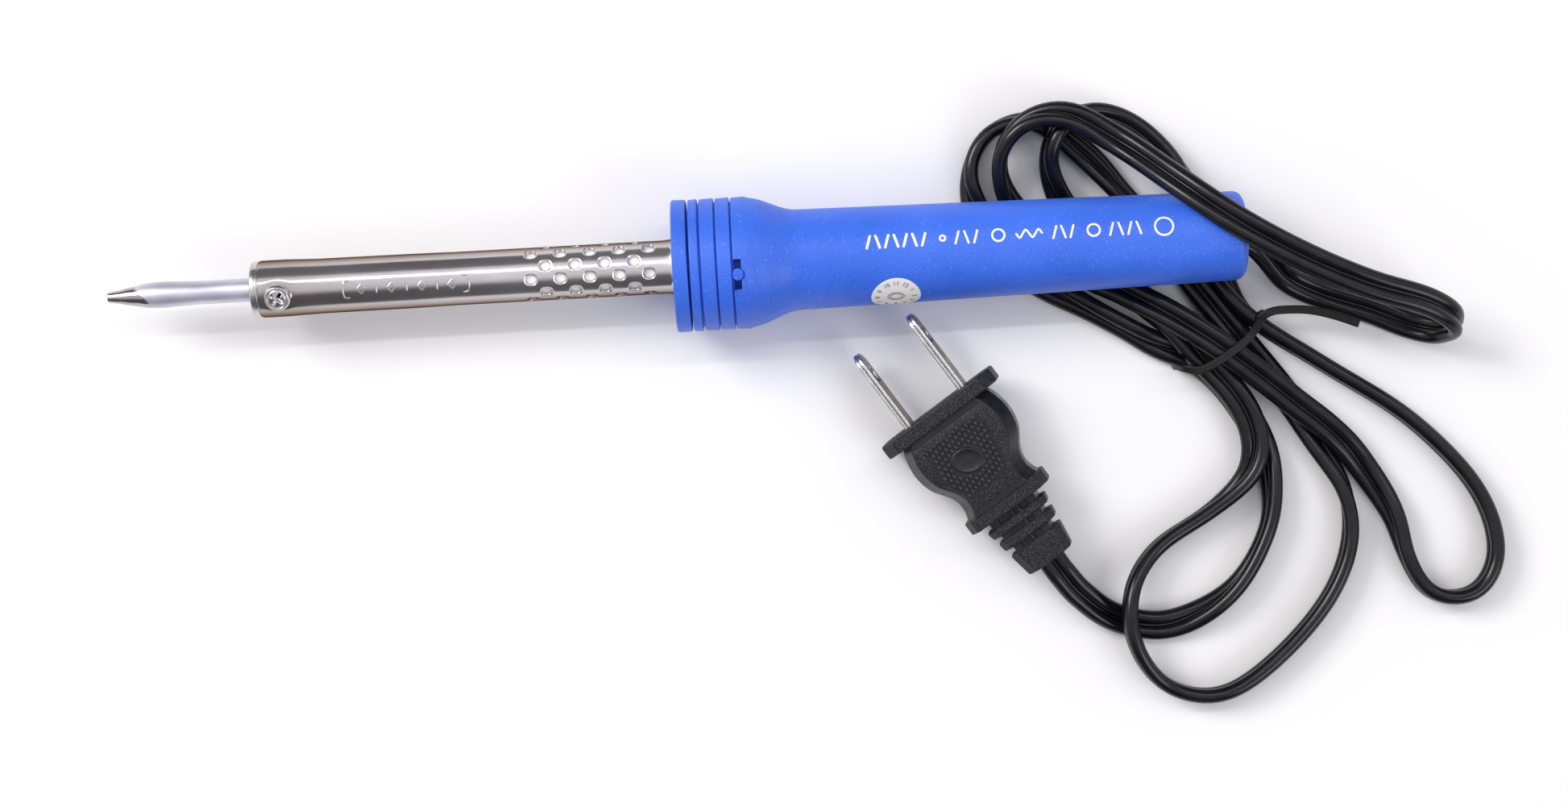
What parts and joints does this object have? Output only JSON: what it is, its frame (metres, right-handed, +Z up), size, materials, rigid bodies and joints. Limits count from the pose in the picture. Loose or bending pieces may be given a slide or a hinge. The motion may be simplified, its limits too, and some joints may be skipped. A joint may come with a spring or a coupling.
{
  "type": "soldering iron",
  "caption": "Pencil soldering iron with a removable tip, vented steel barrel, ribbed collar and handle, and a tied flat mains cord with a two-blade plug.",
  "frame": {"origin": "middle of the iron's length on the surface it lies on, below its axis", "axes": "+X along the iron towards the cord, +Y across it, +Z up"},
  "size_m": [0.2635, 0.1166, 0.025],
  "materials": {
    "tip_metal": "matt plated shank, bright tinned working end",
    "screw_steel": "bright zinc plating",
    "nose_steel": "turned, satin",
    "barrel_chrome": "polished stainless tube",
    "ceramic": "matt white",
    "mica": "layered mica sheet",
    "heater_wire": "oxidised resistance wire",
    "glass_sleeve": "braided glass sleeve",
    "crimp_metal": "tinned",
    "core_insulation": "smooth",
    "blue_plastic": "fine spark-eroded texture",
    "black_rubber": "satin",
    "sticker_paper": "coated white paper with grey print",
    "cord_vinyl": "glossy extruded vinyl",
    "tie_plastic": "smooth",
    "plug_plastic": "fine grain with smooth borders",
    "blade_metal": "nickel-plated folded sheet"
  },
  "bodies": {
    "iron": {"nose_bush": "nose_steel", "barrel_tube": "barrel_chrome", "heater_core": "ceramic", "mica_inner": "mica", "heater_winding": "heater_wire", "mica_outer": "mica", "lead_insulator": "ceramic", "heater_lead_a": "heater_wire", "heater_lead_b": "heater_wire", "lead_sleeve_a": "glass_sleeve", "lead_sleeve_b": "glass_sleeve", "crimp_a": "crimp_metal", "crimp_b": "crimp_metal", "cord_core_a": "core_insulation", "cord_core_b": "core_insulation", "cord_stop": "crimp_metal", "front_cap": "blue_plastic", "handle": "blue_plastic", "cord_grommet": "black_rubber", "date_sticker": "sticker_paper", "cord": "cord_vinyl", "twist_tie": "tie_plastic", "plug_body": "plug_plastic", "plug_blade_a": "blade_metal", "plug_blade_b": "blade_metal"},
    "tip": {"soldering_tip": "tip_metal"},
    "screw": {"tip_screw": "screw_steel"}
  },
  "joints": [
    {"name": "tip_slide", "type": "slide", "parent": "iron", "child": "tip", "axis": [-1, 0, 0], "range_m": [0, 0.045]},
    {"name": "screw_turn", "type": "hinge", "parent": "iron", "child": "screw", "pos_m": [-0.0746, 0, 0.0125], "axis": [0, -0.3584, 0.9336], "range_deg": [0, 765]}
  ]
}
